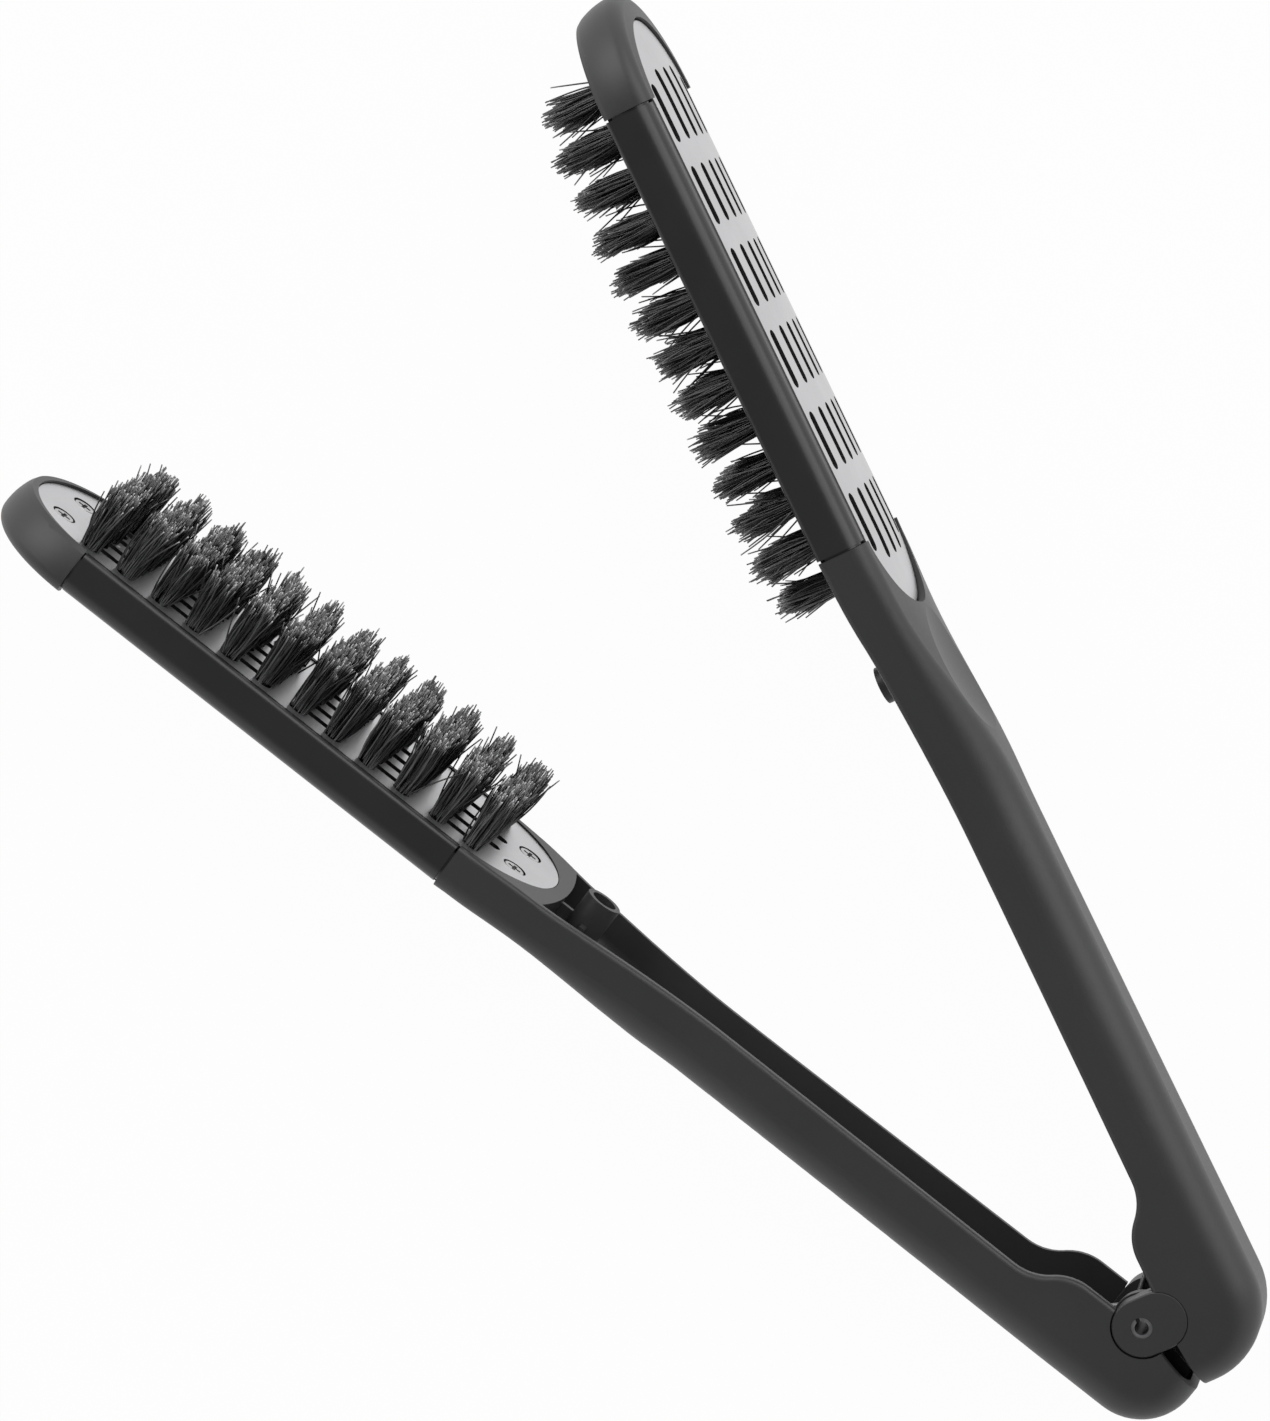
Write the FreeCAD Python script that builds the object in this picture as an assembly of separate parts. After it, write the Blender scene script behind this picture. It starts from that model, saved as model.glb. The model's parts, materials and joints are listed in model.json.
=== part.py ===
import FreeCAD, Part
import math
import os

# Clamp brush for straightening hair: two arms on one sprung hinge, bristles facing each other.
# Sizes are in millimetres and degrees.
# World frame: hinge axis on Z at the origin, Z up, brush lying on its side, right arm along +X.
# Arm frame: x from the hinge axis to the tip, y across the arm, z from the outer back to the bristles.

# Whole brush
pivot_to_tip = 268.8
tail_reach = 15.6
open_angle = 27.0
right_pivot_height = 22.85
left_pivot_height = 18.35
overrun = 3.0
seat_gap = 0.05
fit_gap = 0.15
running_gap = 0.3

# Arm moulding
hinge_half_width = 11.3
waist_half_width = 9.7
grip_taper_power = 1.5
waist_at = 97.0
head_half_width = 21.8
flare_end = 162.0
arm_end = 156.8
hinge_block_reach = 12.0
wall = 1.9
floor = 2.4
edge_height = 12.6
edge_round = 0.9
rim_height = 13.1
rim_rise_start = 132.0
rim_rise_end = 148.0
back_corner_radius = 6.6
right_tail_radius = 15.4
left_tail_radius = 11.9
head_corner_radius = 3.4
shoulder_height = 18.05
shoulder_reach = 12.3
slope_end = 26.2
right_tail_edge = 16.95
left_tail_edge = 13.45
right_tail_shoulder = 18.05
left_tail_shoulder = 16.75
lift_start = 106.0
lift_end = 143.0
deck_margin = 2.8
deck_radius = 68.0
grip_sections = 8
flare_sections = 12
half_turn_share = 0.5
eighth_turn = 45.0

# Stop post in the channel and thumb scoop on the back
post_at = 130.0
post_radius = 3.65
post_bore_radius = 2.6
post_height = 16.4
post_bore_floor = 5.0
gusset = 1.2
gusset_height = 11.1
gusset_reach = 6.4
scoop_at = 127.0
scoop_depth = 1.4
scoop_radius = 62.0

# Head: back plate, core, inner plate, rails and cap
head_at = 202.2
plate_half_span = 43.4
plate = 0.8
plate_edge_round = 0.5
back_rise = 2.15
back_crown_radius = 137.0
back_plate_recess = 0.5
back_plate_half_width = 17.4
core_half_width = 16.8
inner_plate_half_width = 19.6
inner_plate_height = 12.45
inner_dish_radius = 600.0
cap_proud = 0.25
cap_crease_inset = 1.4
cap_crease_drop = 0.95
cap_crease_round = 0.4
cap_corner_radius = 2.8
seam = 0.5
seam_depth = 0.45
rail_recess = 0.7
rail_shoulder_radius = 1.1
groove_width = 0.4
groove_depth = 0.5
rim_width = 0.4

# Vent slots of the two plates, joined by a shallow chamber in the core under each group
slot_length = 11.9
slot_width = 2.6
slot_groups = 6
slot_end_growth = 2.5
back_slot_pitch = 7.0
back_slot_end_shares = (0, 1, 1, 1, 0)
inner_slot_pitch = 6.87
inner_slot_end_shares = (0, 1, 1, 0)
chamber_floor = 5.6
chamber_top = 7.8

# Bristle tufts
tuft_pitch = 8.4
tuft_columns = 5
left_tuft_rows = 12
right_tuft_rows = 13
tuft_length = 13.2
tuft_base_radius = 1.7
tuft_tip_radius = 3.2
tuft_dome = 0.8
tuft_socket_depth = 3.0
tuft_gap = 0.1

# Plate screws
screw_half_span = 55.0
screw_offset = 7.0
screw_head_radius = 2.5
screw_head_depth = 0.6
screw_head_chamfer = 0.4
screw_shank_radius = 1.2
screw_length = 6.4
screw_gap = 0.06
cross_length = 2.8
cross_width = 0.75
cross_depth = 0.9

# Hinge: yoke in the right arm, knuckle ears on the left arm, slotted roll pin, torsion spring
lug_radius = 5.7
lug_height = 3.4
lug_chamfer = 0.25
yoke_leg = 2.1
yoke_bridge = 2.2
yoke_bridge_height = 7.4
ear = 2.0
ear_radius = 6.0
pin_radius = 2.05
pin_wall = 0.7
pin_slit = 0.8
pin_recess = 0.3
pin_seat_gap = 0.03
pin_running_gap = 0.06
spring_wire_radius = 0.55
spring_mean_radius = 3.1
spring_pitch = 1.6
spring_turns = 4
spring_samples = 600
spring_left_leg = 20.0
spring_right_leg = 24.0

# Open stop: a rib in each tail, face to face when the brush is fully open
stop_half_width = 2.6
stop_near = 7.0
stop_far = 12.6
stop_left_slant = 12.0
stop_gap = 0.3

block_top = max(right_pivot_height, left_pivot_height) + lug_radius + overrun
tip_plate_at = head_at + plate_half_span
arm_plate_at = head_at - plate_half_span
cap_at = pivot_to_tip - head_half_width
deck_start = arm_plate_at - inner_plate_half_width - fit_gap - deck_margin
plate_back = back_rise + back_plate_recess
rail_back = back_rise + rail_recess
cap_start = head_at + (head_at - arm_end)
yoke_inner = hinge_half_width - wall - fit_gap - yoke_leg
ear_outer = yoke_inner - running_gap
ear_inner = ear_outer - ear


def point(x, y, z):
    return FreeCAD.Vector(x, y, z)


def line(start, end):
    return Part.LineSegment(start, end).toShape()


def arc(start, middle, end):
    return Part.Arc(start, middle, end).toShape()


def solid_box(x0, x1, y0, y1, z0, z1):
    return Part.makeBox(x1 - x0, y1 - y0, z1 - z0, point(x0, y0, z0))


def across(edges, y0, y1):
    """Solid between two y values from a closed outline drawn at y = 0."""
    face = Part.Face(Part.Wire(edges))
    face.translate(point(0, y0, 0))
    return face.extrude(point(0, y1 - y0, 0))


def closed(points):
    return [line(start, end) for start, end in zip(points, points[1:] + points[:1])]


def rod_across(x, z, radius, y0, y1):
    return Part.makeCylinder(radius, y1 - y0, point(x, y0, z), point(0, 1, 0))


def post(x, y, radius, z0, z1):
    return Part.makeCylinder(radius, z1 - z0, point(x, y, z0))


def both_sides(shape):
    return [shape, shape.mirror(point(0, 0, 0), point(0, 1, 0))]


def rise(radius, y):
    """Height of a dished surface above its middle line."""
    return radius - math.sqrt(radius * radius - y * y)


def dished_edge(start_y, end_y, height, radius):
    """Section line of a plate surface; a radius of zero is a flat surface."""
    if radius == 0:
        return line(point(0, start_y, height), point(0, end_y, height))
    middle_y = half_turn_share * (start_y + end_y)
    return arc(*[point(0, y, height + rise(radius, y)) for y in (start_y, middle_y, end_y)])


def dished_profile(half_width, low, low_radius, high, high_radius):
    """Half section of a plate or pocket between two dished surfaces."""
    low_edge = low + (rise(low_radius, half_width) if low_radius else 0)
    high_edge = high + (rise(high_radius, half_width) if high_radius else 0)
    return Part.Wire([
        line(point(0, 0, low), point(0, 0, high)),
        dished_edge(0, half_width, high, high_radius),
        line(point(0, half_width, high_edge), point(0, half_width, low_edge)),
        dished_edge(half_width, 0, low, low_radius),
    ])


def racetrack(profile):
    """Round-ended solid along the head: a straight run and a half turn at each end."""
    face = Part.Face(profile)
    run = face.copy()
    run.translate(point(arm_plate_at, 0, 0))
    pieces = both_sides(run.extrude(point(tip_plate_at - arm_plate_at, 0, 0)))
    for centre, angle in ((tip_plate_at, -180), (arm_plate_at, 180)):
        end = face.copy()
        end.translate(point(centre, 0, 0))
        pieces.append(end.revolve(point(centre, 0, 0), point(0, 0, 1), angle))
    return pieces[0].fuse(pieces[1:]).removeSplitter()


def head_pockets():
    """Room in the arm and the cap for the two plates and the core."""
    back = dished_profile(back_plate_half_width + fit_gap, -overrun, 0,
                          plate_back + plate + seat_gap, back_crown_radius - plate - seat_gap)
    core = dished_profile(core_half_width + fit_gap, plate_back, 0, inner_plate_height, 0)
    inner = dished_profile(inner_plate_half_width + fit_gap, inner_plate_height - plate - seat_gap,
                           inner_dish_radius + plate + seat_gap, block_top, 0)
    return [racetrack(profile) for profile in (back, core, inner)]


def arm_section(x, half_width, back, crown, corner, top):
    """Closed outline across an arm: straight sides, round corners and a flat or crowned back."""
    turn = math.radians(eighth_turn)
    bottom_y = half_width - corner
    bottom_z = back + crown
    across_mid = bottom_y + corner * math.sin(turn)
    height_mid = bottom_z + corner * (1 - math.cos(turn))
    left_low = point(x, -bottom_y, bottom_z)
    right_low = point(x, bottom_y, bottom_z)
    if crown == 0:
        bottom = line(right_low, left_low)
    else:
        bottom = arc(right_low, point(x, 0, back), left_low)
    return Part.Wire([
        line(point(x, half_width, top), point(x, half_width, bottom_z + corner)),
        arc(point(x, half_width, bottom_z + corner), point(x, across_mid, height_mid), right_low),
        bottom,
        arc(left_low, point(x, -across_mid, height_mid), point(x, -half_width, bottom_z + corner)),
        line(point(x, -half_width, bottom_z + corner), point(x, -half_width, top)),
        line(point(x, -half_width, top), point(x, half_width, top)),
    ])


def ease(share):
    """Smooth step from 0 to 1."""
    return share * share * (3 - 2 * share)


def back_lift(x):
    """Share of the back's rise to the head that is reached at a place along the arm."""
    return ease(min(max((x - lift_start) / (lift_end - lift_start), 0), 1))


def arm_half_width(x):
    """Half width of the arm, which narrows from the hinge to the waist and widens to the head."""
    if x < hinge_block_reach:
        return hinge_half_width
    if x < waist_at:
        left_share = (waist_at - x) / (waist_at - hinge_block_reach)
        taper = 1 - left_share ** grip_taper_power
        return hinge_half_width + taper * (waist_half_width - hinge_half_width)
    share = (x - waist_at) / (flare_end - waist_at)
    return waist_half_width + ease(share) * (head_half_width - waist_half_width)


def grip_stations():
    """Sections from the hinge to the waist: place, half width, back height, crown and corner radius."""
    stations = []
    for step in range(grip_sections + 1):
        x = hinge_block_reach + step / grip_sections * (waist_at - hinge_block_reach)
        stations.append((x, arm_half_width(x), 0, 0, back_corner_radius))
    return stations


def flare_stations():
    """Sections from the waist to the head, where the back lifts and takes the head's crown."""
    crown = rise(back_crown_radius, head_half_width - head_corner_radius)
    stations = []
    for step in range(flare_sections + 1):
        x = waist_at + step / flare_sections * (arm_end - waist_at)
        lift = back_lift(x)
        corner = back_corner_radius + lift * (head_corner_radius - back_corner_radius)
        stations.append((x, arm_half_width(x), lift * back_rise, lift * crown, corner))
    return stations


def arm_run(inset, lift, top):
    """Solid of the arm from the hinge block to the head, drawn in by an inset and lifted by the floor."""
    lofts = []
    for stations in (grip_stations(), flare_stations()):
        sections = [arm_section(x, half_width - inset, back + lift, crown, corner - inset, top)
                    for x, half_width, back, crown, corner in stations]
        lofts.append(Part.makeLoft(sections, True, False))
    return lofts[0].fuse(lofts[1])


def tail_block(inset, lift, tail_radius):
    """End of the arm behind the hinge, rounded from the back round to the tail."""
    half_width = hinge_half_width - inset
    radius = tail_radius - inset
    turn = math.radians(eighth_turn)
    centre_x = tail_radius - tail_reach
    centre_z = radius + lift
    outline = [
        line(point(hinge_block_reach, 0, lift), point(centre_x, 0, lift)),
        arc(point(centre_x, 0, lift),
            point(centre_x - radius * math.sin(turn), 0, centre_z - radius * math.cos(turn)),
            point(centre_x - radius, 0, centre_z)),
        line(point(centre_x - radius, 0, centre_z), point(centre_x - radius, 0, block_top)),
        line(point(centre_x - radius, 0, block_top), point(hinge_block_reach, 0, block_top)),
        line(point(hinge_block_reach, 0, block_top), point(hinge_block_reach, 0, lift)),
    ]
    block = across(outline, -half_width, half_width)
    round_edges = []
    for edge in block.Edges:
        box = edge.BoundBox
        on_side = box.YLength < seat_gap
        on_tail = box.ZMax < centre_z + seat_gap and box.XMax - box.XMin > seat_gap
        upright = abs(box.XMax - (centre_x - radius)) < seat_gap and box.XLength < seat_gap
        if on_side and (on_tail or upright):
            round_edges.append(edge)
    return block.makeFillet(back_corner_radius - inset, round_edges)


def s_curve(start, end):
    """Two arcs from one level to another, level at both ends."""
    run = end.x - start.x
    step = end.z - start.z
    turn = 2 * math.atan2(abs(step), run)
    radius = half_turn_share * run / math.sin(turn)
    half = half_turn_share * turn
    quarter = point(radius * math.sin(half), 0, math.copysign(radius * (1 - math.cos(half)), step))
    middle = (start + end) * half_turn_share
    return [arc(start, start + quarter, middle), arc(middle, end - quarter, end)]


def above_walls(tail_edge, tail_shoulder):
    """Everything above the wall edges, which fall in an S to the grip and rise again to the head."""
    start = point(-tail_reach - overrun, 0, tail_edge)
    shoulder = point(-lug_radius, 0, tail_shoulder)
    crest = point(shoulder_reach, 0, shoulder_height)
    foot = point(slope_end, 0, edge_height)
    rim_foot = point(rim_rise_start, 0, edge_height)
    rim_start = point(rim_rise_end, 0, rim_height)
    end = point(arm_end + overrun, 0, rim_height)
    top = block_top + overrun
    first = point(-lug_radius, 0, shoulder_height)
    edges = [line(start, shoulder)]
    if tail_shoulder != shoulder_height:
        edges.append(line(shoulder, first))
    edges += [line(first, crest), *s_curve(crest, foot), line(foot, rim_foot)]
    edges += s_curve(rim_foot, rim_start)
    edges += [
        line(rim_start, end), line(end, point(end.x, 0, top)),
        line(point(end.x, 0, top), point(start.x, 0, top)), line(point(start.x, 0, top), start),
    ]
    return across(edges, -head_half_width - overrun, head_half_width + overrun)


def thumb_scoop():
    """Ball, its poles to the sides, whose cap presses an oval recess where the back starts to lift."""
    half_length = math.sqrt(scoop_radius ** 2 - (scoop_radius - scoop_depth) ** 2)
    start, end = [point(x, 0, back_rise * back_lift(x))
                  for x in (scoop_at - half_length, scoop_at + half_length)]
    along = (end - start).normalize()
    inward = point(-along.z, 0, along.x)
    centre = (start + end) * half_turn_share + inward * (scoop_depth - scoop_radius)
    return Part.makeSphere(scoop_radius, centre, point(0, 1, 0))


def arm_shell(tail_edge, tail_shoulder, tail_radius):
    """Channel-shaped arm with its deck for the plates, before the hinge features."""
    outside = arm_run(0, 0, block_top)
    inside = arm_run(wall, floor, block_top + overrun)
    deck = post(deck_start + deck_radius, 0, deck_radius, -overrun, block_top + 2 * overrun)
    inside = inside.cut(deck).Solids
    inside = min(inside, key=lambda piece: piece.BoundBox.XMin)
    shell = outside.fuse(tail_block(0, 0, tail_radius)).cut([inside, tail_block(wall, floor, tail_radius)])
    shell = shell.cut([above_walls(tail_edge, tail_shoulder), thumb_scoop()] + head_pockets())
    return max(shell.Solids, key=lambda piece: piece.Volume)


def edge_places(edge):
    """Both ends of an edge and its middle."""
    first, last = edge.ParameterRange
    return [edge.valueAt(value) for value in (first, half_turn_share * (first + last), last)]


def round_outer_edges(shell):
    """Arm with its wall edges rounded on the outside, from the hinge to the head."""
    chosen = []
    for edge in shell.Edges:
        places = edge_places(edge)
        on_side = all(abs(abs(place.y) - arm_half_width(place.x)) < fit_gap for place in places)
        on_top = all(place.z > edge_height - seat_gap for place in places)
        past_hinge = min(place.x for place in places) > half_turn_share * lug_radius
        if on_side and on_top and past_hinge and edge.BoundBox.XLength > seat_gap:
            chosen.append(edge)
    return shell.makeFillet(edge_round, chosen)


def stop_post():
    """Hollow post with gussets that meets the other arm's post when the brush is squeezed."""
    foot = floor + half_turn_share * back_rise
    tube = post(post_at, 0, post_radius, foot, post_height)
    web = half_turn_share * gusset
    webs = [
        solid_box(post_at, deck_start + wall, -web, web, foot, gusset_height),
        solid_box(post_at - web, post_at + web, -gusset_reach, gusset_reach, foot, gusset_height),
    ]
    bore = post(post_at, 0, post_bore_radius, post_bore_floor, post_height + overrun)
    return tube.fuse(webs).cut(bore)


def stop_rib(pivot_height, slant, tail_radius):
    """Rib in the tail whose slanted face is the open stop."""
    fall = math.tan(math.radians(slant))
    foot = half_turn_share * floor
    outline = closed([
        point(-stop_near, 0, foot), point(-stop_near, 0, pivot_height - stop_near * fall),
        point(-stop_far, 0, pivot_height - stop_far * fall), point(-stop_far, 0, foot),
    ])
    rib = across(outline, -stop_half_width, stop_half_width)
    return rib.common(tail_block(half_turn_share * wall, foot, tail_radius))


def right_stop_slant():
    extra = math.degrees(math.atan2(stop_gap, half_turn_share * (stop_near + stop_far)))
    return open_angle + extra - stop_left_slant


def lug_outline(radius, pivot_height):
    """Round-ended outline of the yoke's cheek, centred on the hinge axis at its free end."""
    low = pivot_height - lug_height
    return [
        line(point(radius, 0, low), point(radius, 0, pivot_height)),
        arc(point(radius, 0, pivot_height), point(0, 0, pivot_height + radius),
            point(-radius, 0, pivot_height)),
        line(point(-radius, 0, pivot_height), point(-radius, 0, low)),
        arc(point(-radius, 0, low), point(0, 0, low - radius), point(radius, 0, low)),
    ]


def right_arm():
    shell = arm_shell(right_tail_edge, right_tail_shoulder, right_tail_radius)
    notch = across(lug_outline(lug_radius + seat_gap, right_pivot_height),
                   hinge_half_width - wall - overrun, hinge_half_width + overrun)
    shell = round_outer_edges(shell.cut(both_sides(notch)))
    rib = stop_rib(right_pivot_height, right_stop_slant(), right_tail_radius)
    return shell.fuse([stop_post(), rib]).removeSplitter()


def left_arm():
    shell = arm_shell(left_tail_edge, left_tail_shoulder, left_tail_radius)
    notch = rod_across(0, left_pivot_height, lug_radius + running_gap,
                       yoke_inner - running_gap, hinge_half_width + overrun)
    shell = round_outer_edges(shell.cut(both_sides(notch)))
    foot = half_turn_share * floor
    cheek = [
        line(point(-ear_radius, 0, foot), point(-ear_radius, 0, left_pivot_height)),
        arc(point(-ear_radius, 0, left_pivot_height), point(0, 0, left_pivot_height + ear_radius),
            point(ear_radius, 0, left_pivot_height)),
        line(point(ear_radius, 0, left_pivot_height), point(ear_radius, 0, foot)),
        line(point(ear_radius, 0, foot), point(-ear_radius, 0, foot)),
    ]
    ears = both_sides(across(cheek, ear_inner, ear_outer))
    rib = stop_rib(left_pivot_height, stop_left_slant, left_tail_radius)
    shell = shell.fuse(ears + [stop_post(), rib])
    bore = rod_across(0, left_pivot_height, pin_radius + pin_running_gap, -hinge_half_width, hinge_half_width)
    return shell.cut(bore).removeSplitter()


def hinge_yoke():
    """Two cheeks flush with the right arm's walls, on legs joined by a bridge inside the channel."""
    leg_outer = yoke_inner + yoke_leg
    cheek = across(lug_outline(lug_radius, right_pivot_height), leg_outer, hinge_half_width)
    rim = [edge for edge in cheek.Edges if edge.BoundBox.YMin > hinge_half_width - seat_gap]
    cheek = cheek.makeChamfer(lug_chamfer, rim)
    leg = across(lug_outline(lug_radius, right_pivot_height), yoke_inner, leg_outer)
    low = yoke_bridge_height
    leg = leg.fuse(solid_box(-lug_radius, lug_radius, yoke_inner, leg_outer, low, right_pivot_height))
    bridge = solid_box(-lug_radius, lug_radius, -yoke_inner, yoke_inner, low, low + yoke_bridge)
    yoke = bridge.fuse(both_sides(cheek) + both_sides(leg))
    bore = rod_across(0, right_pivot_height, pin_radius + pin_seat_gap, -hinge_half_width - overrun,
                      hinge_half_width + overrun)
    return yoke.cut(bore).removeSplitter()


def hinge_pin():
    """Slotted hollow roll pin."""
    reach = hinge_half_width - pin_recess
    pin = rod_across(0, right_pivot_height, pin_radius, -reach, reach)
    bore = rod_across(0, right_pivot_height, pin_radius - pin_wall, -reach - overrun, reach + overrun)
    slit = solid_box(0, pin_radius + overrun, -reach - overrun, reach + overrun,
                     right_pivot_height - half_turn_share * pin_slit,
                     right_pivot_height + half_turn_share * pin_slit)
    return pin.cut([bore, slit])


def group_centres():
    """Places of the slot groups along the head, one to every second row of tufts."""
    return [head_at + (group - half_turn_share * (slot_groups - 1)) * 2 * tuft_pitch
            for group in range(slot_groups)]


def plate_slots(pitch, end_shares, low, high):
    """Round-ended slots in groups; the first and last group reach further out in some columns."""
    slots = []
    radius = half_turn_share * slot_width
    centres = group_centres()
    for centre in centres:
        for column, share in enumerate(end_shares):
            y = (column - half_turn_share * (len(end_shares) - 1)) * pitch
            start = centre - half_turn_share * slot_length + radius
            end = centre + half_turn_share * slot_length - radius
            if centre == centres[0]:
                start -= slot_end_growth * share
            if centre == centres[-1]:
                end += slot_end_growth * share
            slot = solid_box(start, end, y - radius, y + radius, low, high)
            ends = [post(x, y, radius, low, high) for x in (start, end)]
            slots.append(slot.fuse(ends).removeSplitter())
    return slots


def back_slots():
    return plate_slots(back_slot_pitch, back_slot_end_shares, -overrun, chamber_top)


def inner_slots():
    return plate_slots(inner_slot_pitch, inner_slot_end_shares, chamber_floor, block_top)


def vent_chambers():
    """Shallow rooms in the core that join the slots of the back plate to those of the inner plate."""
    half_length = half_turn_share * (slot_length - slot_width)
    half_width = half_turn_share * (len(back_slot_end_shares) - 1) * back_slot_pitch
    return [solid_box(centre - half_length, centre + half_length, -half_width, half_width,
                      chamber_floor, chamber_top) for centre in group_centres()]


def tuft_places(rows):
    """Rows of tuft positions from the hinge end; a row in the round end keeps only what fits the core."""
    places = []
    for row in range(rows):
        x = head_at + (row - half_turn_share * (rows - 1)) * tuft_pitch
        into_end = max(abs(x - head_at) - plate_half_span, 0)
        across_row = [(column - half_turn_share * (tuft_columns - 1)) * inner_slot_pitch
                      for column in range(tuft_columns)]
        places.append([(x, y) for y in across_row
                       if math.hypot(into_end, y) + tuft_base_radius + tuft_gap < core_half_width])
    return places


def tuft_socket_floor():
    return inner_plate_height - plate - seat_gap - tuft_socket_depth


def plate_top(y):
    return inner_plate_height + rise(inner_dish_radius, y)


def tuft(x, y):
    """Bundle of bristles: straight in its socket, flared above the plate, with a low dome at the tips."""
    low = tuft_socket_floor()
    base = plate_top(y)
    tip = base + tuft_length
    shoulder = tip - tuft_dome
    dome_radius = (tuft_tip_radius ** 2 + tuft_dome ** 2) / (2 * tuft_dome)
    middle_radius = half_turn_share * tuft_tip_radius
    profile = Part.Wire([
        line(point(0, 0, low), point(tuft_base_radius, 0, low)),
        line(point(tuft_base_radius, 0, low), point(tuft_base_radius, 0, base)),
        line(point(tuft_base_radius, 0, base), point(tuft_tip_radius, 0, shoulder)),
        arc(point(tuft_tip_radius, 0, shoulder),
            point(middle_radius, 0, tip - rise(dome_radius, middle_radius)), point(0, 0, tip)),
        line(point(0, 0, tip), point(0, 0, low)),
    ])
    bundle = Part.Face(profile).revolve(point(0, 0, 0), point(0, 0, 1), 360)
    bundle.translate(point(x, y, 0))
    return bundle


def tuft_holes(rows):
    holes = []
    for row in tuft_places(rows):
        for x, y in row:
            holes.append(post(x, y, tuft_base_radius + tuft_gap, tuft_socket_floor(), block_top))
    return holes


def screw_body(x, y, gap, headroom):
    """Flat-headed screw; with a gap and headroom it is the stepped hole that the screw sits in."""
    top = plate_top(y)
    head = post(x, y, screw_head_radius + gap, top - screw_head_depth, top + headroom)
    shank = post(x, y, screw_shank_radius + gap, top - screw_length - gap, top)
    return head.fuse(shank).removeSplitter()


def plate_screw(x, y):
    """Screw with a chamfered head and a cross recess."""
    top = plate_top(y)
    blank = screw_body(x, y, 0, 0)
    rim = [edge for edge in blank.Edges if edge.BoundBox.ZMin > top - seat_gap]
    long_half = half_turn_share * cross_length
    short_half = half_turn_share * cross_width
    recess = [
        solid_box(x - along, x + along, y - aside, y + aside, top - cross_depth, top + overrun)
        for along, aside in ((long_half, short_half), (short_half, long_half))
    ]
    return blank.makeChamfer(screw_head_chamfer, rim).cut(recess)


def screw_pair(x):
    return Part.makeCompound([plate_screw(x, -screw_offset), plate_screw(x, screw_offset)])


def screw_holes():
    return [screw_body(head_at + end * screw_half_span, side * screw_offset, screw_gap, overrun)
            for end in (-1, 1) for side in (-1, 1)]


def back_plate():
    """Crowned sheet with a soft outer rim."""
    profile = dished_profile(back_plate_half_width, plate_back, back_crown_radius,
                             plate_back + plate, back_crown_radius - plate)
    blank = racetrack(profile)
    rim_height_here = plate_back + rise(back_crown_radius, back_plate_half_width)
    rim = [edge for edge in blank.Edges
           if all(abs(place.z - rim_height_here) < seat_gap for place in edge_places(edge))]
    return blank.makeFillet(plate_edge_round, rim).cut(back_slots())


def bristle_core(rows):
    profile = dished_profile(core_half_width, plate_back + plate + seat_gap,
                             back_crown_radius - plate - seat_gap, inner_plate_height - plate - seat_gap,
                             inner_dish_radius + plate + seat_gap)
    vents = back_slots() + inner_slots() + vent_chambers()
    return racetrack(profile).cut(vents + tuft_holes(rows) + screw_holes())


def inner_plate(rows):
    profile = dished_profile(inner_plate_half_width, inner_plate_height - plate,
                             inner_dish_radius + plate, inner_plate_height, inner_dish_radius)
    return racetrack(profile).cut(inner_slots() + tuft_holes(rows) + screw_holes())


def tip_cap():
    """Horseshoe cap round the free end of the plates: sloping rim, soft crease and bulging side."""
    turn = math.radians(eighth_turn)
    outer = head_half_width
    corner = cap_corner_radius
    top = rim_height + cap_proud
    rim_y = inner_plate_half_width + fit_gap
    crease_y = outer - cap_crease_inset
    crease_z = top - cap_crease_drop
    bottom_y = outer - corner
    bottom_z = back_rise + rise(back_crown_radius, bottom_y)
    side_z = bottom_z + corner
    side_radius = (cap_crease_inset ** 2 + (crease_z - side_z) ** 2) / (2 * cap_crease_inset)
    half_bulge = half_turn_share * math.asin((crease_z - side_z) / side_radius)
    profile = Part.Wire([
        line(point(0, 0, top), point(0, 0, back_rise)),
        dished_edge(0, bottom_y, back_rise, back_crown_radius),
        arc(point(0, bottom_y, bottom_z),
            point(0, bottom_y + corner * math.sin(turn), bottom_z + corner * (1 - math.cos(turn))),
            point(0, outer, side_z)),
        arc(point(0, outer, side_z),
            point(0, outer - side_radius * (1 - math.cos(half_bulge)),
                  side_z + side_radius * math.sin(half_bulge)),
            point(0, crease_y, crease_z)),
        line(point(0, crease_y, crease_z), point(0, rim_y, top)),
        line(point(0, rim_y, top), point(0, 0, top)),
    ])
    face = Part.Face(profile)
    face.translate(point(cap_at, 0, 0))
    cap = face.revolve(point(cap_at, 0, 0), point(0, 0, 1), -180)
    crease = [edge for edge in cap.Edges
              if abs(edge.BoundBox.ZMin - crease_z) < seat_gap and edge.BoundBox.YLength > crease_y]
    cap = cap.makeFillet(cap_crease_round, crease)
    width = outer + overrun
    keep = solid_box(cap_start, pivot_to_tip + overrun, -width, width, -overrun, block_top)
    cap = cap.common(keep).cut(head_pockets())
    return max(cap.Solids, key=lambda piece: piece.Volume)


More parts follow.
